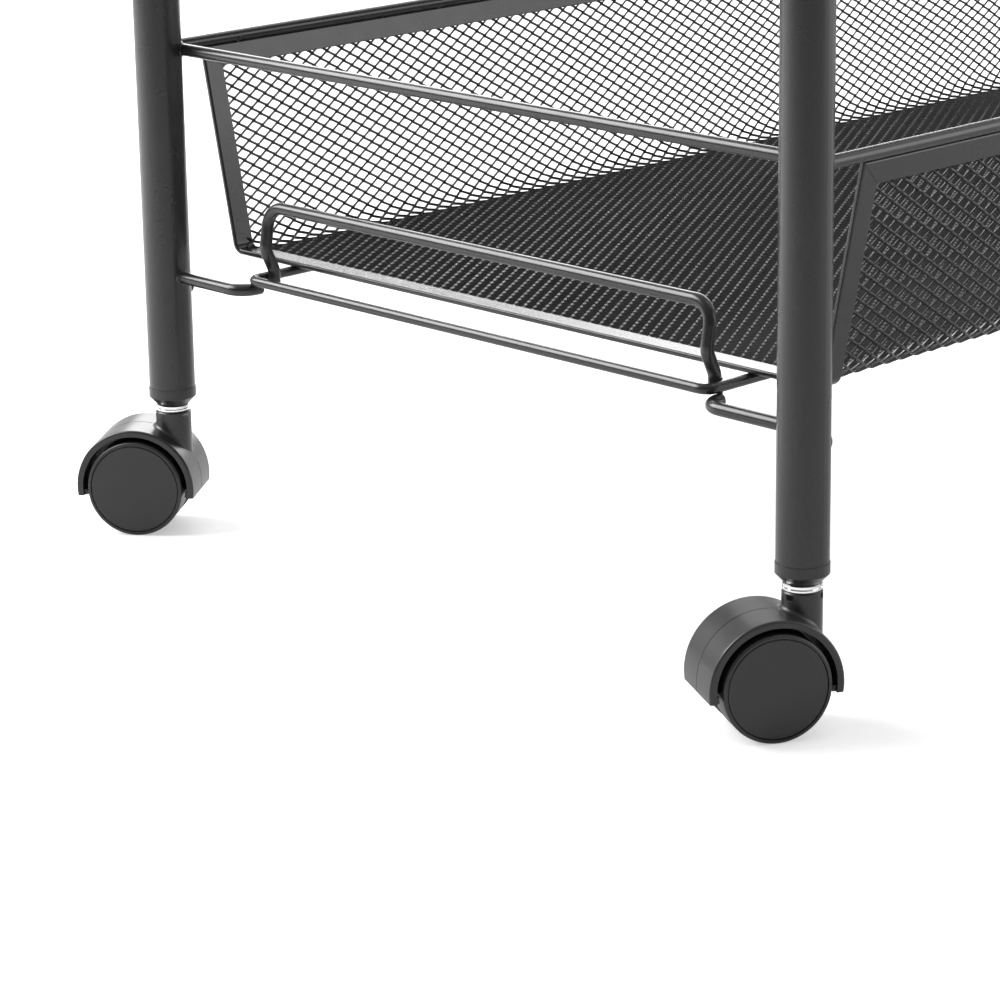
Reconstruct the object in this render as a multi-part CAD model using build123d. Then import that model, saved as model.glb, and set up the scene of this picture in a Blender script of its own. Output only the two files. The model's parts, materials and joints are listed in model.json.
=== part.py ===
from build123d import *
import math
import os

os.makedirs("parts", exist_ok=True)

# Rolling pantry cart, millimetres, +Z up, the open fronts face -Y, origin on the floor midway between the posts.

# ---- driving dimensions -------------------------------------------------------------------------------------
POST_X = 173.5            # post axes, half the spacing along the front
POST_Y = 290.0            # post axes, half the spacing front to back
POST_R = 9.5
POST_WALL = 1.2
POST_BOTTOM = 60.8
POST_TOP = 732.0

RAIL_R = 2.5              # rim rails, fences and brackets
BASE_R = 2.0              # base rings
RAIL_OUT = 3.4            # side rails sit this far outside the post axes
RAIL_IN = 6.9             # front and rear rails sit this far inside the post axes

TIER_NAMES = ("lower", "middle", "upper")
TIER_PITCH = 255.0
RAIL_Z = 201.0            # rim rail of the lowest tier
BASE_Z = 112.7            # base ring of the lowest tier
BRACKET_Z = BASE_Z - BASE_R - RAIL_R

BASE_X = 125.0            # base ring, half width
BASE_Y = 286.4            # base ring, half length
BASE_BEND = 4.2

FENCE_TOP = 142.5
FENCE_BEND = 8.0
FENCE_SETBACK = 4.2       # feet behind the inner corner of the base ring

SHEET = 0.6               # mesh sheet
EDGING = 2.2              # folded strip round its free edges
EDGING_WIDTH = 9.0
TRAY_TOP = RAIL_Z - RAIL_R
TRAY_FLOOR = BASE_Z + BASE_R + EDGING / 2
TRAY_HALF_FLOOR = 159.5
TRAY_FRONT = -265.0
TRAY_BACK_FLOOR = 266.0
TRAY_BEND = 10.0          # walls into floor
EDGING_BEND = 4.0         # the front strip turns the same corner tighter
TRAY_CORNER = 26.0        # side walls into back wall

WHEEL_R = 20.0
TRAIL = 14.0
HOOD_R = 24.8
HOOD_WALL = 2.65
HOOD_HALF = 15.0
WEB_HALF = 2.6
STEM_R = 3.8
AXLE_R = 2.5
RUNNING = 0.05            # radial clearance of every running fit
HOOD_END = WHEEL_R - 3.6   # both ends stop a little below the axle
SOCKET_R = 7.3
SOCKET_TOP = 50.7
COLLAR_BOTTOM = 50.8
COLLAR_TOP = 53.6

# name: (sign of x, sign of y, heading of the stem seen from the wheels, degrees)
CASTERS = {
    "front_left": (-1, -1, 37.0),
    "front_right": (1, -1, 61.0),
    "rear_left": (-1, 1, 241.0),
    "rear_right": (1, 1, 217.0),
}


# ---- helpers ------------------------------------------------------------------------------------------------
def save(shape, name):
    export_step(shape, f"parts/{name}.step")


def rod(points, radius, bend):
    """Round wire bent through the points."""
    path = FilletPolyline(*points, radius=bend) if bend else Polyline(*points)
    start = Plane(origin=path @ 0, z_dir=path % 0)
    return sweep(start * Circle(radius), path=path)


def bar(start, end, radius):
    """Straight round bar between two points."""
    return rod([start, end], radius, 0)


def turned(profile):
    """Solid of revolution about Z from (radius, height) corners."""
    face = make_face(Polyline(*[(r, 0, z) for r, z in profile], close=True))
    return revolve(face, Axis.Z)


def at_posts(shape):
    """The same shape under or over every post."""
    return [
        Pos(sx * POST_X, sy * POST_Y, 0) * shape
        for sx, sy, _ in CASTERS.values()
    ]


def post_cores():
    """The outside of the four posts, for coping rails and brackets."""
    core = Pos(0, 0, POST_TOP / 2) * Cylinder(POST_R, POST_TOP + 40)
    return Compound(at_posts(core))


# ---- posts --------------------------------------------------------------------------------------------------
BOLT_R = 1.5
BOLT_HEAD_R = 4.2
BOLT_HEAD_H = 2.7
BOLT_DEPTH = 5.0
BOLT_Z = BRACKET_Z - 5.6
PLUG_TOP = POST_BOTTOM + 16.0


def post(sx, sy):
    height = POST_TOP - POST_BOTTOM
    tube = Cylinder(POST_R, height) - Cylinder(POST_R - POST_WALL, height)
    tube = Pos(0, 0, POST_BOTTOM + height / 2) * tube
    for level in range(3):
        z = BOLT_Z + level * TIER_PITCH
        tube -= Pos(0, -sy * POST_R, z) * Rot(90, 0, 0) * Cylinder(BOLT_R, POST_R)
    return Pos(sx * POST_X, sy * POST_Y, 0) * tube


def plug():
    """Foot plug: flange under the tube, bevel to a short nose, insert with a bore for the stem."""
    bottom = POST_BOTTOM - 7.1
    return turned([
        (STEM_R, bottom),
        (6.9, bottom),
        (7.2, POST_BOTTOM - 6.6),
        (9.3, POST_BOTTOM - 4.4),
        (9.75, POST_BOTTOM - 4.0),
        (9.75, POST_BOTTOM),
        (POST_R - POST_WALL, POST_BOTTOM),
        (POST_R - POST_WALL, PLUG_TOP),
        (STEM_R, PLUG_TOP),
    ])


def cap():
    """Head plug with a low dome."""
    inner = POST_R - POST_WALL
    rim = Pos(0, 0, POST_TOP + 1.5) * Cylinder(9.75, 3.0)
    crown = Pos(0, 0, POST_TOP + 3.0) * (
        Pos(0, 0, -12.0) * Sphere(15.4) & Pos(0, 0, 5.0) * Box(40, 40, 10.0)
    )
    insert = Pos(0, 0, POST_TOP - 7.0) * Cylinder(inner, 14.0)
    return rim + crown + insert


for corner, (sx, sy, _) in CASTERS.items():
    save(post(sx, sy), f"post_{corner}")
save(Compound(at_posts(plug())), "post_plugs")
save(Compound(at_posts(cap())), "post_caps")


# ---- tray sheet and its edging ------------------------------------------------------------------------------
TRAY_TALL = TRAY_TOP - TRAY_FLOOR
LEAN_SIDE = math.atan((POST_X + RAIL_OUT - TRAY_HALF_FLOOR) / TRAY_TALL)
LEAN_BACK = math.atan((POST_Y - RAIL_IN - TRAY_BACK_FLOOR) / TRAY_TALL)


def tub(offset, front, bend):
    """Solid block inside the tray's mid surface, grown outward by offset."""
    drop = TRAY_FLOOR - offset
    side = [
        TRAY_HALF_FLOOR + (z - TRAY_FLOOR) * math.tan(LEAN_SIDE) + offset / math.cos(LEAN_SIDE)
        for z in (drop, TRAY_TOP)
    ]
    back = [
        TRAY_BACK_FLOOR + (z - TRAY_FLOOR) * math.tan(LEAN_BACK) + offset / math.cos(LEAN_BACK)
        for z in (drop, TRAY_TOP)
    ]
    across = make_face(Polyline(
        (-side[0], front, drop),
        (side[0], front, drop),
        (side[1], front, TRAY_TOP),
        (-side[1], front, TRAY_TOP),
        close=True,
    ))
    along = make_face(Polyline(
        (-250, front, drop),
        (-250, back[0], drop),
        (-250, back[1], TRAY_TOP),
        (-250, front, TRAY_TOP),
        close=True,
    ))
    block = extrude(across, amount=600, dir=(0, 1, 0)) & extrude(along, amount=500, dir=(1, 0, 0))
    corners = [
        e for e in block.edges()
        if drop + 1 < e.center().Z < TRAY_TOP - 1 and e.center().Y > front + 1
    ]
    block = fillet(corners, TRAY_CORNER + offset)
    bottom = [
        e for e in block.edges()
        if e.center().Z < drop + 0.01 and e.center().Y > front + 1
    ]
    return fillet(bottom, bend + offset)


def shell(thickness, bend):
    """The tray as a bent sheet, open at the top and the front."""
    return tub(thickness / 2, TRAY_FRONT, bend) - tub(-thickness / 2, TRAY_FRONT, bend)


def edging_zone():
    """Where the folded strip runs: along the front edge and along the rim."""
    front = Pos(0, TRAY_FRONT + EDGING_WIDTH / 2, 150) * Box(600, EDGING_WIDTH, 300)
    rim = Pos(0, 0, TRAY_TOP) * Box(600, 900, 2 * EDGING_WIDTH)
    return front + rim


# ---- wires of one tier --------------------------------------------------------------------------------------
def rim_ring():
    """Front, rear and side rails, coped to the posts."""
    across = POST_Y - RAIL_IN
    beside = POST_X + RAIL_OUT
    rails = []
    for side in (-1, 1):
        rails.append(bar((-POST_X, side * across, RAIL_Z), (POST_X, side * across, RAIL_Z), RAIL_R))
        rails.append(bar((side * beside, -POST_Y, RAIL_Z), (side * beside, POST_Y, RAIL_Z), RAIL_R))
    return Compound([s for rail in rails for s in (rail - post_cores()).solids()])


def base_ring():
    """Closed wire ring under the tray, in two bent halves butted at the middle."""
    halves = []
    for side in (-1, 1):
        points = [
            (0, -BASE_Y, BASE_Z),
            (side * BASE_X, -BASE_Y, BASE_Z),
            (side * BASE_X, BASE_Y, BASE_Z),
            (0, BASE_Y, BASE_Z),
        ]
        halves.append(rod(points, BASE_R, BASE_BEND))
    return halves[0] + halves[1]


def fence():
    """Low gate before the open front, its feet welded inside the base ring's side wires."""
    nest = BASE_R + RAIL_R + 0.1
    leg = BASE_X - nest
    foot = -BASE_Y + nest + FENCE_SETBACK
    points = []
    for side in (-1, 1):
        half = [
            (side * leg, foot, BASE_Z - 1.6),
            (side * leg, foot, BASE_Z + 3.4),
            (side * leg, foot - 4.2, BASE_Z + 12.4),
            (side * leg, foot - 1.4, FENCE_TOP),
        ]
        points += half if side < 0 else half[::-1]
    joggle = 6.0
    return mixed_rod(points, RAIL_R, [joggle, joggle, FENCE_BEND, FENCE_BEND, joggle, joggle])


def mixed_rod(points, radius, bends):
    """Round wire through the points with its own bend radius at each inner point."""
    lines = []
    here = Vector(*points[0])
    for i in range(1, len(points) - 1):
        a, b, c = (Vector(*points[j]) for j in (i - 1, i, i + 1))
        into = (b - a).normalized()
        out = (c - b).normalized()
        turn = math.acos(max(-1.0, min(1.0, into.dot(out))))
        reach = bends[i - 1] * math.tan(turn / 2)
        lines.append(Line(here, b - into * reach))
        lines.append(TangentArc(b - into * reach, b + out * reach, tangent=into))
        here = b + out * reach
    lines.append(Line(here, Vector(*points[-1])))
    path = Wire(lines)
    start = Plane(origin=path @ 0, z_dir=path % 0)
    return sweep(start * Circle(radius), path=path)


def brackets():
    """Four bent wires that carry the base ring, coped to the posts."""
    pieces = []
    for sx, sy, _ in CASTERS.values():
        points = [
            (sx * (POST_X - 2), sy * POST_Y, BRACKET_Z),
            (sx * (BASE_X + 1.0), sy * POST_Y, BRACKET_Z),
            (sx * (BASE_X + 1.0), sy * (POST_Y - 9.5), BRACKET_Z),
        ]
        wire = rod(points, RAIL_R, 8.0) - post_cores()
        pieces += wire.solids()
    return Compound(pieces)


def bolt():
    """Pan head screw along +X with its head seated on the tube."""
    head = Rot(0, 90, 0) * Cylinder(BOLT_HEAD_R, 2 * BOLT_HEAD_H)
    dome = Pos(POST_R + BOLT_HEAD_H - 5.6, 0, 0) * Sphere(5.6)
    head = (Pos(POST_R, 0, 0) * head) & dome
    head -= Cylinder(POST_R, 40)
    shank = Pos(POST_R - BOLT_DEPTH / 2, 0, 0) * Rot(0, 90, 0) * Cylinder(BOLT_R, BOLT_DEPTH + 1.0)
    slot = Pos(POST_R + BOLT_HEAD_H, 0, 0)
    cross = slot * Box(2.4, 0.9, 4.2) + slot * Box(2.4, 4.2, 0.9)
    return head + shank - cross


sheet = shell(SHEET, TRAY_BEND) - edging_zone()
strip = shell(EDGING, EDGING_BEND) & edging_zone()
tier_parts = {
    "rim_ring": rim_ring(),
    "base_ring": base_ring(),
    "fence": fence(),
    "brackets": brackets(),
    "mesh_tray": sheet,
    "tray_edging": strip,
}
for level, tier in enumerate(TIER_NAMES):
    for name, shape in tier_parts.items():
        save(Pos(0, 0, level * TIER_PITCH) * shape, f"{tier}_{name}")

bolts = []
for level in range(3):
    for sx, sy, _ in CASTERS.values():
        inward = Rot(0, 0, -90 * sy)
        bolts.append(Pos(sx * POST_X, sy * POST_Y, BOLT_Z + level * TIER_PITCH) * inward * bolt())
save(Compound(bolts), "frame_bolts")


# ---- casters, drawn with the stem on the Z axis and the wheels trailing along -X ------------------------------
def stem():
    """Plated stem with two collar rings."""
    return turned([
        (0, SOCKET_TOP - 11.0),
        (STEM_R - 0.6, SOCKET_TOP - 11.0),
        (STEM_R, SOCKET_TOP - 10.4),
        (STEM_R, COLLAR_BOTTOM),
        (6.7, COLLAR_BOTTOM),
        (7.1, COLLAR_BOTTOM + 0.4),
        (7.1, COLLAR_BOTTOM + 1.0),
        (6.3, COLLAR_BOTTOM + 1.3),
        (6.3, COLLAR_BOTTOM + 1.5),
        (7.1, COLLAR_BOTTOM + 1.8),
        (7.1, COLLAR_BOTTOM + 2.4),
        (6.7, COLLAR_TOP - 0.1),
        (STEM_R, COLLAR_TOP - 0.1),
        (STEM_R, PLUG_TOP - 1.0),
        (STEM_R - 0.8, PLUG_TOP),
        (0, PLUG_TOP),
    ])


def along_axle(shape):
    """Turn a shape modelled along Z so that it lies along Y at the wheel centre."""
    return Pos(-TRAIL, 0, WHEEL_R) * Rot(90, 0, 0) * shape


def hood():
    """Moulded hood: half ring over both wheels, web between them, socket for the stem."""
    width = 2 * HOOD_HALF
    inner = HOOD_R - HOOD_WALL
    ring = Cylinder(HOOD_R, width) - Cylinder(inner, width)
    ring = fillet(ring.edges().filter_by(GeomType.CIRCLE).filter_by(lambda e: e.radius > HOOD_R - 1), 0.9)
    ring = along_axle(ring)
    below = Pos(-TRAIL, 0, HOOD_END - 20) * Box(80, 60, 40)
    lips = along_axle(Cylinder(HOOD_R - 0.5, width - 3) - Cylinder(inner - 1.2, width))
    lips &= Pos(-TRAIL, 0, HOOD_END + 1.1) * Box(80, 60, 2.2)
    web = along_axle(Cylinder(inner + 0.4, 2 * WEB_HALF)) - below
    socket = Pos(0, 0, (SOCKET_TOP + 30.0) / 2) * Cylinder(SOCKET_R, SOCKET_TOP - 30.0)
    socket = chamfer(socket.edges().sort_by(Axis.Z)[-1], 0.5)
    body = (ring - below) + (socket - along_axle(Cylinder(inner, width + 2)))
    foot = [e for e in body.edges() if is_socket_foot(e)]
    body = fillet(foot, 1.6)
    body += lips + web + along_axle(Cylinder(6.0, 2 * WEB_HALF))
    body -= Pos(0, 0, SOCKET_TOP - 5.6) * Cylinder(STEM_R + RUNNING, 11.4)
    body -= along_axle(Cylinder(AXLE_R, width))
    for side in (-1, 1):
        body -= Pos(side * 5.9, 0, SOCKET_TOP - 1.6) * Box(1.9, 20, 1.9)
    seam = along_axle(Cylinder(HOOD_R + 1, 0.35) - Cylinder(HOOD_R - 0.25, 0.35))
    return body - (seam - Cylinder(SOCKET_R + 2.0, 200))


def is_socket_foot(edge):
    """True for the seam where the round socket meets the top of the ring."""
    ends = [edge @ t for t in (0.1, 0.5, 0.9)]
    on_socket = all(abs(math.hypot(p.X, p.Y) - SOCKET_R) < 0.02 for p in ends)
    on_ring = all(abs(math.hypot(p.X + TRAIL, p.Z - WHEEL_R) - HOOD_R) < 0.02 for p in ends)
    return on_socket and on_ring


def axle():
    return along_axle(Cylinder(AXLE_R, 26.0))


WHEEL_IN = WEB_HALF + 0.5
WHEEL_OUT = 15.9
CAP_R = 18.4
CAP_IN = 14.0


def wheel(side):
    """Wheel with a rounded tread, a recess in its inner face and a shallow seat for the cap."""
    width = WHEEL_OUT - WHEEL_IN
    rim = Cylinder(WHEEL_R, width)
    rim = fillet(rim.edges().filter_by(GeomType.CIRCLE), 1.0)
    rim -= Cylinder(AXLE_R + RUNNING, width)
    hollow = Cylinder(16.0, 6.0) - Cylinder(6.5, 6.0)
    rim -= Pos(0, 0, -width / 2) * hollow
    rim = Pos(0, 0, (WHEEL_OUT + WHEEL_IN) / 2) * rim
    rim -= Pos(0, 0, CAP_IN + 5.0) * Cylinder(CAP_R + 0.15, 10.0)
    if side < 0:
        rim = Rot(180, 0, 0) * rim
    return along_axle(rim)


def wheel_cap(side):
    """Flat cap pressed over the hub, its rounded edge leaving a fine groove round it."""
    disc = Pos(0, 0, (WHEEL_OUT + CAP_IN) / 2) * Cylinder(CAP_R, WHEEL_OUT - CAP_IN)
    disc = fillet(disc.edges().filter_by(GeomType.CIRCLE).sort_by(Axis.Z)[-1], 0.6)
    if side < 0:
        disc = Rot(180, 0, 0) * disc
    return along_axle(disc)


caster_parts = {
    "hood": hood(),
    "axle": axle(),
    "wheel_a": wheel(1),
    "wheel_b": wheel(-1),
    "cap_a": wheel_cap(1),
    "cap_b": wheel_cap(-1),
}
for corner, (sx, sy, heading) in CASTERS.items():
    place = Pos(sx * POST_X, sy * POST_Y, 0) * Rot(0, 0, heading)
    save(Pos(sx * POST_X, sy * POST_Y, 0) * stem(), f"caster_{corner}_stem")
    for name, shape in caster_parts.items():
        save(place * shape, f"caster_{corner}_{name}")
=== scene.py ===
import json
import math

import bmesh
import bpy
import numpy as np
from mathutils import Matrix, Vector

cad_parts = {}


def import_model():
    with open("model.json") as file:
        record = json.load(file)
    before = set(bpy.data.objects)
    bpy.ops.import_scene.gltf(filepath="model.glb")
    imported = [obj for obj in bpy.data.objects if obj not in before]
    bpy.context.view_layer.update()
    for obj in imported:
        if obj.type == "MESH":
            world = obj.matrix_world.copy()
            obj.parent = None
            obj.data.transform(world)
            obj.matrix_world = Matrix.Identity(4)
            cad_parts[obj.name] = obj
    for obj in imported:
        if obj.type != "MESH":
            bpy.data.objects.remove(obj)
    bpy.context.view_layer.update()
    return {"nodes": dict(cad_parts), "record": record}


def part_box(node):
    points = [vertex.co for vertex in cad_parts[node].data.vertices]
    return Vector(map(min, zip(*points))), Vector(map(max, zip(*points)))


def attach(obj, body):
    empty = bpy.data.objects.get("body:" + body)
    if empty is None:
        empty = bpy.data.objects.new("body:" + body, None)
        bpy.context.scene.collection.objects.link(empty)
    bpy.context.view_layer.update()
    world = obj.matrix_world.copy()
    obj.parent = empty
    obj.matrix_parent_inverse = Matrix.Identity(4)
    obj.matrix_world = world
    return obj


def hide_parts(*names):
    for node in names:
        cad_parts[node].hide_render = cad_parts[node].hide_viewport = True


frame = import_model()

MM = 0.001

# ---- the frame's own sizes, in metres --------------------------------------------------------------------
TIERS = ("lower", "middle", "upper")
CORNERS = {
    "front_left": (-1, -1),
    "front_right": (1, -1),
    "rear_left": (-1, 1),
    "rear_right": (1, 1),
}
SHEET = 0.6 * MM                       # plain sheet that stands for the mesh in the frame
EDGING = 2.2 * MM                      # folded strip, thickness
EDGING_WIDTH = 9.0 * MM
EDGING_PROUD = 0.1 * MM                # the edging stands this far past the top of the sheet
BEND = 10.0 * MM                       # walls into floor, on the mid surface
EDGING_BEND = 4.0 * MM                 # the front strip turns the same corner tighter
CORNER = 26.0 * MM                     # side walls into back wall
HALF_FLOOR = 159.5 * MM
BACK_FLOOR = 266.0 * MM

tray_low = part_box("lower_mesh_tray")[0]
edge_low, edge_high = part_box("lower_tray_edging")
post_low, post_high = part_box("post_front_right")
FLOOR_Z = tray_low.z + SHEET / 2
TOP_Z = edge_high.z
FRONT_Y = edge_low.y
TIER_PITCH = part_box("middle_mesh_tray")[0].z - tray_low.z
POST_X = (post_low.x + post_high.x) / 2
POST_Y = -(post_low.y + post_high.y) / 2
POST_R = (post_high.x - post_low.x) / 2
WALL_TALL = TOP_Z - FLOOR_Z
HALF_TOP = edge_high.x - EDGING / 2


# ---- materials -------------------------------------------------------------------------------------------
COLOUR_DRIFT = 28                      # waves per metre
GLOSS_DRIFT = 110
BLUE_CAST = 1.02                       # the greys are very slightly cool
NOISE_LOW, NOISE_HIGH = 0.3, 0.7       # where noise values mostly lie


def grey(value):
    return (value, value, value * BLUE_CAST, 1)


def new_material(name):
    made = bpy.data.materials.new(name)
    made.use_nodes = True
    tree = made.node_tree
    return made, tree.nodes, tree.links, tree.nodes["Principled BSDF"]


def noise_from_object(nodes, links, scale, detail):
    """Noise that sticks to the piece, with its scale in waves per metre."""
    place = nodes.new("ShaderNodeTexCoord")
    noise = nodes.new("ShaderNodeTexNoise")
    noise.inputs["Scale"].default_value = scale
    noise.inputs["Detail"].default_value = detail
    links.new(place.outputs["Object"], noise.inputs["Vector"])
    return noise


def map_range(nodes, links, source, low, high):
    made = nodes.new("ShaderNodeMapRange")
    made.inputs["From Min"].default_value = NOISE_LOW
    made.inputs["From Max"].default_value = NOISE_HIGH
    made.inputs["To Min"].default_value = low
    made.inputs["To Max"].default_value = high
    links.new(source, made.inputs["Value"])
    return made.outputs["Result"]


def tint(nodes, links, source, dark, light):
    """Colour that drifts between two near tones."""
    ramp = nodes.new("ShaderNodeValToRGB")
    ends = ramp.color_ramp.elements
    ends[0].position, ends[0].color = NOISE_LOW, dark
    ends[1].position, ends[1].color = NOISE_HIGH, light
    links.new(source, ramp.inputs["Fac"])
    return ramp.outputs["Color"]


def grained(name, tones, rough, grain_scale, grain_depth, bump=0.5, metallic=0.0):
    """A finish whose colour and gloss drift slightly and whose surface has a fine grain."""
    made, nodes, links, shader = new_material(name)
    drift = noise_from_object(nodes, links, COLOUR_DRIFT, 3)
    colour = tint(nodes, links, drift.outputs["Fac"], *map(grey, tones))
    links.new(colour, shader.inputs["Base Color"])
    haze = noise_from_object(nodes, links, GLOSS_DRIFT, 4)
    links.new(map_range(nodes, links, haze.outputs["Fac"], *rough), shader.inputs["Roughness"])
    grain = noise_from_object(nodes, links, grain_scale, 2)
    relief = nodes.new("ShaderNodeBump")
    relief.inputs["Strength"].default_value = bump
    relief.inputs["Distance"].default_value = grain_depth * MM
    links.new(grain.outputs["Fac"], relief.inputs["Height"])
    links.new(relief.outputs["Normal"], shader.inputs["Normal"])
    shader.inputs["Metallic"].default_value = metallic
    return made


# tones and roughness each drift between two values; the grain's depth is in millimetres
FINISHES = {
    "powder_coat": {
        "tones": (0.012, 0.016), "rough": (0.23, 0.28),
        "grain_scale": 900, "grain_depth": 0.01, "bump": 0.12,
    },
    "coated_mesh": {
        "tones": (0.008, 0.012), "rough": (0.24, 0.34),
        "grain_scale": 1400, "grain_depth": 0.03,
    },
    "moulded_plastic": {
        "tones": (0.012, 0.016), "rough": (0.31, 0.35),
        "grain_scale": 2600, "grain_depth": 0.01, "bump": 0.3,
    },
    "wheel_plastic": {
        "tones": (0.013, 0.017), "rough": (0.36, 0.42),
        "grain_scale": 2200, "grain_depth": 0.01, "bump": 0.3,
    },
    "chrome_plate": {
        "tones": (0.78, 0.82), "rough": (0.06, 0.14),
        "grain_scale": 700, "grain_depth": 0.01, "metallic": 1.0,
    },
    "bright_steel": {
        "tones": (0.55, 0.62), "rough": (0.22, 0.32),
        "grain_scale": 1500, "grain_depth": 0.02, "metallic": 1.0,
    },
    "black_screw": {
        "tones": (0.020, 0.030), "rough": (0.28, 0.36),
        "grain_scale": 1200, "grain_depth": 0.02, "metallic": 0.6,
    },
}
MATERIALS = {name: grained(name, **finish) for name, finish in FINISHES.items()}
SLOT_OF = {part["node"]: part["material_slot"] for part in frame["record"]["subparts"]}

for node, thing in frame["nodes"].items():
    for part_slot in thing.material_slots:
        part_slot.material = MATERIALS[SLOT_OF[node]]


# ---- mesh helpers ----------------------------------------------------------------------------------------
EDGE_HOLD = 0.1 * MM                   # keeps a flat face flat beside its rounding


def closed_mesh(name, points, faces, material):
    """Smooth mesh data of closed pieces, with every face turned outwards and the tubes' ends crisp."""
    data = bpy.data.meshes.new(name)
    data.from_pydata(points.tolist(), [], faces)
    shaped = bmesh.new()
    shaped.from_mesh(data)
    bmesh.ops.recalc_face_normals(shaped, faces=shaped.faces)
    for cap in (face for face in shaped.faces if len(face.verts) > 4):
        for edge in cap.edges:
            edge.smooth = False
    shaped.to_mesh(data)
    shaped.free()
    data.materials.append(MATERIALS[material])
    data.shade_smooth()
    return data


def place(name, data, body, slot, lift=0.0, replaces=()):
    """A piece in the scene that rides on its body."""
    piece = bpy.data.objects.new(name, data)
    bpy.context.scene.collection.objects.link(piece)
    piece.location.z = lift
    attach(piece, body)
    if replaces:
        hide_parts(*replaces)
    return piece


def tube_faces(rings, around, capped=True):
    """Quads of a tube of rings, each with the same number of points, with its ends closed or joined up."""
    last = rings - 1 if capped else rings
    ring = np.arange(last)[:, None] * around
    ahead = (np.arange(last)[:, None] + 1) % rings * around
    step = np.arange(around)[None, :]
    after = (step + 1) % around
    quads = np.stack([ring + step, ring + after, ahead + after, ahead + step], axis=-1)
    faces = [list(q) for q in quads.reshape(-1, 4)]
    if capped:
        faces.append(list(range(around))[::-1])
        faces.append([(rings - 1) * around + i for i in range(around)])
    return faces


def gather(tubes):
    """One set of points and faces from many tubes given as (points, points around, capped)."""
    points, faces, base = [], [], 0
    for nodes, around, capped in tubes:
        points.append(nodes)
        faces += [[base + i for i in face] for face in tube_faces(len(nodes) // around, around, capped)]
        base += len(nodes)
    return np.concatenate(points), faces


def rounded_box(low, high, near_radius, far_radius, steps=5):
    """Outline of a rectangle whose near end has one rounding and whose far end another."""
    corners = [
        (low[0], low[1], near_radius, 180),
        (high[0], low[1], far_radius, 270),
        (high[0], high[1], far_radius, 0),
        (low[0], high[1], near_radius, 90),
    ]
    outline = []
    for x, y, radius, start in corners:
        inward_x = radius if x == low[0] else -radius
        inward_y = radius if y == low[1] else -radius
        turn = np.radians(start + np.linspace(0, 90, steps))
        arc = np.stack([x + inward_x + radius * np.cos(turn), y + inward_y + radius * np.sin(turn)], axis=-1)
        before = arc[0] + EDGE_HOLD * np.array([math.sin(turn[0]), -math.cos(turn[0])])
        beyond = arc[-1] + EDGE_HOLD * np.array([-math.sin(turn[-1]), math.cos(turn[-1])])
        outline += [before, *arc, beyond]
    return np.array(outline)


# ---- the tray's bent surface -----------------------------------------------------------------------------
LEAN = math.atan((HALF_TOP - HALF_FLOOR) / WALL_TALL)
TURN = math.pi / 2 - LEAN                          # the bend's turn, from the floor to the wall
TANGENT = BEND * math.tan(TURN / 2)
BEND_LENGTH = BEND * TURN
FLOOR_X = HALF_FLOOR - TANGENT                     # where the flat floor ends
FLOOR_Y = BACK_FLOOR - TANGENT
WALL_LENGTH = WALL_TALL / math.cos(LEAN) - TANGENT
RIM = BEND_LENGTH + WALL_LENGTH                    # from the end of the floor to the rim, along the sheet
CENTRE_X = FLOOR_X + BEND * math.sin(TURN) - CORNER
CENTRE_Y = FLOOR_Y + BEND * math.sin(TURN) - CORNER
SEAM_ANGLE = math.pi / 4
SEAM_Y = CENTRE_Y + CORNER * SEAM_ANGLE
SEAM_X = CENTRE_X + CORNER * SEAM_ANGLE
STRETCH_FROM = CENTRE_Y - 80 * MM                  # the pattern takes up the bend's narrower radius from here


def section(d, bend=BEND):
    """Outward reach, height and slope of the sheet at a distance d past the flat floor."""
    d = np.asarray(d, float)
    slope = np.clip(d, 0, bend * TURN) / bend
    beyond = np.clip(d - bend * TURN, 0, None)
    reach = np.minimum(d, 0) + bend * np.sin(slope) + beyond * math.cos(TURN)
    height = bend * (1 - np.cos(slope)) + beyond * math.sin(TURN)
    return reach, height, slope


def corner_radius(reach):
    """Plan radius of the rounded corner: constant on the wall, smaller down the bend."""
    return np.minimum(CORNER, CORNER - (BEND * math.sin(TURN) - reach))


def surface(plan_x, plan_y, out_x, out_y, height, slope):
    """Points, inward normals and the direction up the sheet."""
    points = np.stack([plan_x, plan_y, FLOOR_Z + height], axis=-1)
    normal = np.stack([-np.sin(slope) * out_x, -np.sin(slope) * out_y, np.cos(slope)], axis=-1)
    across = np.stack([np.cos(slope) * out_x, np.cos(slope) * out_y, np.sin(slope)], axis=-1)
    return points, normal, across


def smoothstep(t):
    t = np.clip(t, 0, 1)
    return t * t * (3 - 2 * t)


def side_wall(v, d, side):
    """The left or right wall, which turns the rear corner as far as its seam; v runs along Y."""
    reach, height, slope = section(d)
    radius = corner_radius(reach)
    line = FLOOR_Y + reach - radius
    angle = np.clip((v - CENTRE_Y) / CORNER, 0, SEAM_ANGLE)
    grow = smoothstep((v - STRETCH_FROM) / (CENTRE_Y - STRETCH_FROM))
    straight = v + (line - CENTRE_Y) * grow
    y = np.where(v < CENTRE_Y, straight, line) + radius * np.sin(angle)
    x = side * (FLOOR_X + reach - radius + radius * np.cos(angle))
    return surface(x, y, side * np.cos(angle), np.sin(angle), height, slope)


def back_wall(u, d):
    """The back wall, which turns both rear corners as far as their seams; u runs along X."""
    reach, height, slope = section(d)
    radius = corner_radius(reach)
    line = FLOOR_X + reach - radius
    side = np.sign(u)
    angle = np.clip((np.abs(u) - CENTRE_X) / CORNER, 0, SEAM_ANGLE)
    straight = u * line / CENTRE_X
    x = np.where(np.abs(u) < CENTRE_X, straight, side * line) + side * radius * np.sin(angle)
    y = FLOOR_Y + reach - radius + radius * np.cos(angle)
    return surface(x, y, side * np.sin(angle), np.cos(angle), height, slope)


def floor(u, v):
    flat = np.zeros_like(u)
    return surface(u, v, np.ones_like(u), flat, flat, flat)


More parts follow.
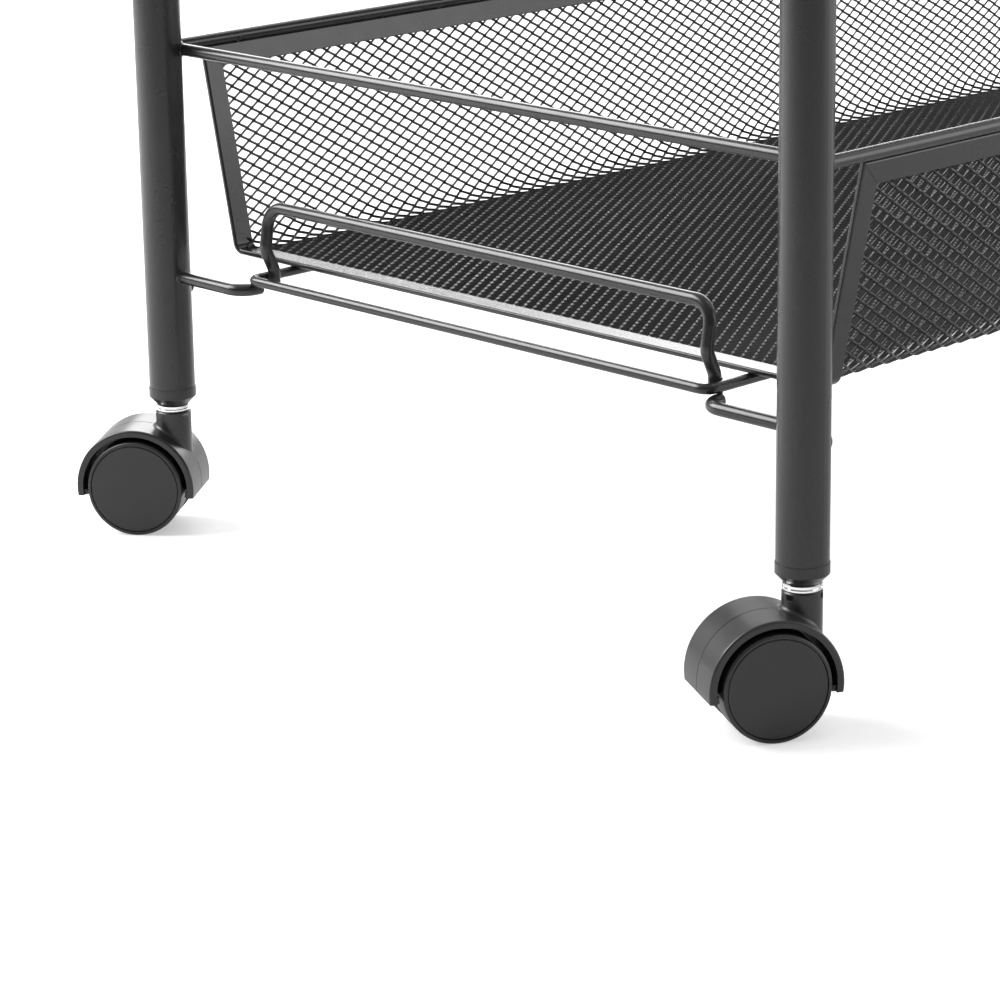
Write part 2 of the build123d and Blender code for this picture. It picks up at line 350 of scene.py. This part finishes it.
# ---- expanded mesh: slanted strands that zigzag from bond to bond ----------------------------------------
LONG_PITCH = 8.27 * MM                 # bond to bond along a row
ROW = 2.57 * MM                        # row to row of bonds
HALF_BOND = 0.25 * MM                  # a strand runs straight this far each side of a bond
BOND_SHIFT = 0.30 * MM                 # strand's centre from its bond's centre, along its width
STRAND_WIDE = 1.12 * MM
STRAND_THICK = 0.74 * MM
STRAND_TILT = math.radians(-40)
FRONT_INSET = 1.5 * MM                 # the mesh starts this far inside the folded strip
RIM_INSET = 2.0 * MM


def zigzag(row, columns):
    """Places across and along the rows of one strand's nodes, and the side of the bond each lies on."""
    low = (columns + row) % 2 == 0
    across = np.where(low, row, row + 1) * ROW
    along = columns * LONG_PITCH / 2
    both_ends = np.stack([along - HALF_BOND, along + HALF_BOND], axis=1).ravel()
    return np.repeat(across, 2), both_ends, np.repeat(np.where(low, 1.0, -1.0), 2)


def strand(points, normal, across, bond_side):
    """Slanted flat strand as a four-sided tube through the nodes."""
    wide = math.cos(STRAND_TILT) * across + math.sin(STRAND_TILT) * normal
    thick = math.cos(STRAND_TILT) * normal - math.sin(STRAND_TILT) * across
    middle = points + wide * bond_side[:, None] * BOND_SHIFT
    corners = [(-1, -1), (1, -1), (1, 1), (-1, 1)]
    ring = [middle + a * wide * STRAND_WIDE / 2 + b * thick * STRAND_THICK / 2 for a, b in corners]
    return np.stack(ring, axis=1).reshape(-1, 3), 4, True


def column_range(start, end):
    """Whole half pitches along a row between two places."""
    half = LONG_PITCH / 2
    return np.arange(math.ceil(start / half), math.floor(end / half) + 1)


def floor_strands():
    rows = int(FLOOR_X / ROW) + 1
    round_off = CORNER - BEND * math.sin(TURN)
    made = []
    for row in range(-rows, rows):
        past = min(max(0.0, abs(row + 0.5) * ROW - CENTRE_X), round_off)
        end = CENTRE_Y + math.sqrt(round_off**2 - past**2)
        u, v, bond_side = zigzag(row, column_range(FRONT_Y + FRONT_INSET, end))
        made.append(strand(*floor(u, v), bond_side))
    return made


def side_strands(side):
    first = int(FLOOR_X / ROW) + 1
    last = int((FLOOR_X + RIM - RIM_INSET) / ROW)
    columns = column_range(FRONT_Y + FRONT_INSET, SEAM_Y)
    made = []
    for row in range(first, last):
        u, v, bond_side = zigzag(row if side > 0 else -row - 1, columns)
        points, normal, up = side_wall(v, u * side - FLOOR_X, side)
        made.append(strand(points, normal, up * side, bond_side))
    return made


def back_strands():
    rows = int(SEAM_X / ROW)
    columns = column_range(FLOOR_Y - LONG_PITCH / 2, FLOOR_Y + RIM - RIM_INSET)
    made = []
    for row in range(-rows - 1, rows + 1):
        u, d, bond_side = zigzag(row, columns)
        points, normal, up = back_wall(u, d - FLOOR_Y)
        made.append(strand(points, normal, np.cross(up, normal), bond_side))
    return made


def in_every_tier(name, tubes, material, hidden=()):
    """The same piece in each of the three trays, in place of the tray's hidden nodes."""
    points, faces = gather(tubes)
    data = closed_mesh(name, points, faces, material)
    for level, tier in enumerate(TIERS):
        replaced = [f"{tier}_{node}" for node in hidden]
        place(f"{tier}_{name}", data, "frame", material, level * TIER_PITCH, replaced)
    return data


for panel, strands in {
    "mesh_floor": floor_strands(),
    "mesh_left": side_strands(-1),
    "mesh_right": side_strands(1),
    "mesh_back": back_strands(),
}.items():
    in_every_tier(panel, strands, "coated_mesh", ["mesh_tray"]).shade_flat()


# ---- folded edging: a strip round the open front and a band round the rim, mitred where they meet --------
MITRE_GAP = 0.12 * MM
STRIP_FLOOR_X = HALF_FLOOR - EDGING_BEND * math.tan(TURN / 2)
STRIP_RIM = EDGING_BEND * (TURN - math.tan(TURN / 2)) + WALL_TALL / math.cos(LEAN)
HEM = rounded_box((0, -EDGING / 2), (EDGING_WIDTH, EDGING / 2), 0.75 * MM, 0.3 * MM)
STRAP = rounded_box((-2.6 * MM, 0.2 * MM), (2.6 * MM, 1.3 * MM), 0.3 * MM, 0.3 * MM, 3)
STRAP_TOP = RIM - 6 * MM


def front_strip():
    """The strip down one wall, across the floor and up the other wall."""
    inset, thick = HEM.T
    bend = np.linspace(EDGING_BEND * TURN, 0, 13)
    wall = np.linspace(STRIP_RIM, EDGING_BEND * TURN, 6)[1:-1]
    top = STRIP_RIM + EDGING_PROUD - MITRE_GAP - inset
    half = [top] + [np.full_like(inset, d) for d in (*wall, *bend)]
    rings = []
    for side in (-1, 1):
        for d in half if side < 0 else half[::-1]:
            reach, height, slope = section(d, EDGING_BEND)
            x = side * (STRIP_FLOOR_X + reach - np.sin(slope) * thick)
            rings.append(np.stack([x, FRONT_Y + inset, FLOOR_Z + height + np.cos(slope) * thick], axis=-1))
    return np.concatenate(rings), len(HEM), True


def rim_band():
    """The band from one front corner along the wall, round the back and to the other front corner."""
    down, thick = HEM.T
    depth = RIM + EDGING_PROUD - down
    straight = np.linspace(STRETCH_FROM, CENTRE_Y, 7)
    round_corner = np.linspace(CENTRE_Y, SEAM_Y, 6)[1:]
    runs = [FRONT_Y + MITRE_GAP + down] + [np.full_like(down, v) for v in (*straight, *round_corner)]
    arc = np.linspace(CENTRE_X, SEAM_X, 6)[:-1]
    along_back = (*-arc[::-1], -CENTRE_X / 3, CENTRE_X / 3, *arc)
    rings = [side_wall(v, depth, -1) for v in runs]
    rings += [back_wall(np.full_like(down, u), depth) for u in along_back]
    rings += [side_wall(v, depth, 1) for v in runs[::-1]]
    nodes = [points + normal * thick[:, None] for points, normal, _ in rings]
    return np.concatenate(nodes), len(HEM), True


def corner_seam(side):
    """Flat strap that covers the join of the side and back mesh up a rear corner."""
    place_round, thick = STRAP.T
    v = SEAM_Y + np.minimum(place_round, 0)
    u = side * (SEAM_X - np.maximum(place_round, 0))
    rings = []
    for d in (*np.linspace(-1 * MM, BEND_LENGTH, 9), STRAP_TOP):
        depth = np.full_like(v, d)
        beside = side_wall(v, depth, side)
        behind = back_wall(u, depth)
        on_side = (place_round < 0)[:, None]
        points = np.where(on_side, beside[0], behind[0])
        normal = np.where(on_side, beside[1], behind[1])
        rings.append(points + normal * thick[:, None])
    return np.concatenate(rings), len(v), True


in_every_tier("edging_strip", [front_strip()], "powder_coat", ["tray_edging"])
in_every_tier("edging_band", [rim_band()], "powder_coat", ["tray_edging"])
in_every_tier("mesh_seams", [corner_seam(-1), corner_seam(1)], "powder_coat")


# ---- welds -----------------------------------------------------------------------------------------------
rail_low, rail_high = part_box("lower_rim_ring")
bracket_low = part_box("lower_brackets")[0]
ring_low, ring_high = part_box("lower_base_ring")
fence_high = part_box("lower_fence")[1]
WIRE = (rail_high.z - rail_low.z) / 2
RAIL_Z = rail_low.z + WIRE
BRACKET_Z = bracket_low.z + WIRE
SIDE_RAIL = rail_high.x - WIRE
CROSS_RAIL = rail_high.y - WIRE
RING_X = ring_high.x - (ring_high.z - ring_low.z) / 2
TACKS_Y = (-0.246, -0.133, -0.020, 0.093, 0.206)
TAIL_Y = POST_Y - 9.5 * MM             # where a bracket's tail lies along the base ring
FENCE_FOOT_Y = fence_high.y - WIRE
BEAD = 0.75 * MM


def uneven(angle, seed):
    """Lumps of a weld round its bead."""
    return 1 + 0.16 * np.sin(3 * angle + seed) + 0.10 * np.sin(7 * angle + 2.3 * seed)


def weld_at_post(corner, along_x, offset, z):
    """Bead where a wire along X or Y meets its post; offset is the wire's distance beside the post's axis."""
    sx, sy = CORNERS[corner]
    seed = 1.7 * sx + 2.9 * sy + 31 * z + offset * 1000
    turn = np.linspace(0, 2 * math.pi, 28, endpoint=False)[:, None]
    round_bead = np.linspace(0, 2 * math.pi, 8, endpoint=False)[None, :]
    bead = BEAD * uneven(turn, seed)
    spread = WIRE + bead * np.cos(round_bead)
    beside = np.clip(offset + spread * np.sin(turn), -POST_R, POST_R)
    inwards = np.sqrt(POST_R**2 - beside**2) + bead * np.sin(round_bead)
    height = z + spread * np.cos(turn)
    if along_x:
        x, y = sx * (POST_X - inwards), sy * (POST_Y - beside)
    else:
        x, y = sx * (POST_X + beside), sy * (POST_Y - inwards)
    return np.stack([x, y, height], axis=-1).reshape(-1, 3), 8, False


def tack(x, y, z, half_length, thick, z_ends=(0.0, 0.0)):
    """Lumpy drop of weld along Y, whose ends may lie above or below z."""
    start = Vector((x, y - half_length, z + z_ends[0]))
    end = Vector((x, y + half_length, z + z_ends[1]))
    turned = (end - start).to_track_quat("Z", "Y")
    rings = []
    for step in np.linspace(0.04, 0.96, 9):
        lump = thick * math.sin(math.pi * step) ** 0.6 * (1 + 0.15 * math.sin(9 * step + start.y * 300))
        centre = start.lerp(end, float(step))
        turns = [i * math.pi / 5 for i in range(10)]
        rings += [centre + turned @ Vector((lump * math.cos(t), lump * math.sin(t), 0)) for t in turns]
    return np.array([list(point) for point in rings]), 10, True


welds = []
for corner, (sx, sy) in CORNERS.items():
    welds.append(weld_at_post(corner, True, 0.0, BRACKET_Z))
    welds.append(weld_at_post(corner, True, POST_Y - CROSS_RAIL, RAIL_Z))
    welds.append(weld_at_post(corner, False, SIDE_RAIL - POST_X, RAIL_Z))
    welds.append(tack(sx * (RING_X + 0.6 * MM), sy * TAIL_Y, ring_low.z, 1.5 * MM, 1.0 * MM))
for side in (-1, 1):
    welds.append(tack(side * (RING_X - 2.2 * MM), FENCE_FOOT_Y, ring_high.z, 1.6 * MM, 0.9 * MM))
    inner = side * (SIDE_RAIL - 1.6 * MM)
    for y in TACKS_Y:
        welds.append(tack(inner, y, RAIL_Z, 1.2 * MM, 1.1 * MM, (-2.6 * MM, 0.6 * MM)))
in_every_tier("welds", welds, "powder_coat")


# ---- studio ----------------------------------------------------------------------------------------------
def studio_floor(glow, camera_glow):
    """Plain pale floor; seen straight from the camera it glows more than its light on the cart."""
    bpy.ops.mesh.primitive_plane_add(size=12)
    ground = bpy.context.object
    ground.name = "studio_floor"
    made, nodes, links, shader = new_material("studio_floor")
    shader.inputs["Base Color"].default_value = (0.7, 0.7, 0.7, 1)
    shader.inputs["Emission Color"].default_value = (1, 1, 1, 1)
    path = nodes.new("ShaderNodeLightPath")
    lift = nodes.new("ShaderNodeMapRange")
    lift.inputs["To Min"].default_value = glow
    lift.inputs["To Max"].default_value = camera_glow
    links.new(path.outputs["Is Camera Ray"], lift.inputs["Value"])
    links.new(lift.outputs["Result"], shader.inputs["Emission Strength"])
    shader.inputs["Roughness"].default_value = 0.9
    shader.inputs["Specular IOR Level"].default_value = 0.1
    ground.data.materials.append(made)


def area_light(name, place_at, target, size, power):
    lamp = bpy.data.lights.new(name, "AREA")
    lamp.shape = "RECTANGLE"
    lamp.size, lamp.size_y = size
    lamp.energy = power
    holder = bpy.data.objects.new(name, lamp)
    holder.location = place_at
    holder.rotation_euler = (Vector(target) - Vector(place_at)).to_track_quat("-Z", "Y").to_euler()
    bpy.context.scene.collection.objects.link(holder)


def world(camera_level, dark_side, bright_side):
    """White to the camera; the light it gives grows from the front to the back."""
    made = bpy.data.worlds.new("studio")
    bpy.context.scene.world = made
    made.use_nodes = True
    nodes, links = made.node_tree.nodes, made.node_tree.links
    light = nodes["Background"]
    light.inputs["Color"].default_value = (1, 1, 1, 1)
    heading = nodes.new("ShaderNodeTexCoord")
    backness = nodes.new("ShaderNodeVectorMath")
    backness.operation = "DOT_PRODUCT"
    backness.inputs[1].default_value = (-0.35, 0.93, 0.1)
    level = nodes.new("ShaderNodeMapRange")
    level.inputs["From Min"].default_value = -1
    level.inputs["To Min"].default_value = dark_side
    level.inputs["To Max"].default_value = bright_side
    links.new(heading.outputs["Generated"], backness.inputs[0])
    links.new(backness.outputs["Value"], level.inputs["Value"])
    links.new(level.outputs["Result"], light.inputs["Strength"])
    seen = nodes.new("ShaderNodeBackground")
    seen.inputs["Color"].default_value = (1, 1, 1, 1)
    seen.inputs["Strength"].default_value = camera_level
    path = nodes.new("ShaderNodeLightPath")
    mix = nodes.new("ShaderNodeMixShader")
    links.new(path.outputs["Is Camera Ray"], mix.inputs["Fac"])
    links.new(light.outputs["Background"], mix.inputs[1])
    links.new(seen.outputs["Background"], mix.inputs[2])
    links.new(mix.outputs["Shader"], nodes["World Output"].inputs["Surface"])


studio_floor(glow=0.05, camera_glow=0.42)
world(camera_level=1.0, dark_side=0.08, bright_side=1.3)
area_light("back", (-1.5, 1.7, 1.0), (0, 0, 0.15), size=(2.0, 1.2), power=36)
area_light("right_back", (1.5, 1.3, 0.6), (0, 0, 0.15), size=(1.6, 1.2), power=13)
area_light("left", (-1.0, -0.95, 0.9), (-0.55, -0.75, 0), size=(1.0, 1.0), power=36)
area_light("top", (-0.3, 0.7, 2.4), (-0.1, 0.2, 0), size=(2.2, 2.2), power=24)

camera_data = bpy.data.cameras.new("camera")
camera_data.sensor_width = 36
camera_data.lens = 129.8
camera = bpy.data.objects.new("camera", camera_data)
bpy.context.scene.collection.objects.link(camera)
AZIMUTH, ELEVATION, ROLL = math.radians(46.2), math.radians(16.82), math.radians(-0.88)
camera.location = (0.9638, -1.1934, 0.4461)
toward = Vector((
    -math.sin(AZIMUTH) * math.cos(ELEVATION),
    math.cos(AZIMUTH) * math.cos(ELEVATION),
    -math.sin(ELEVATION),
))
camera.rotation_mode = "QUATERNION"
camera.rotation_quaternion = toward.to_track_quat("-Z", "Y") @ Matrix.Rotation(ROLL, 4, "Z").to_quaternion()
bpy.context.scene.camera = camera
bpy.context.scene.view_settings.view_transform = "Standard"
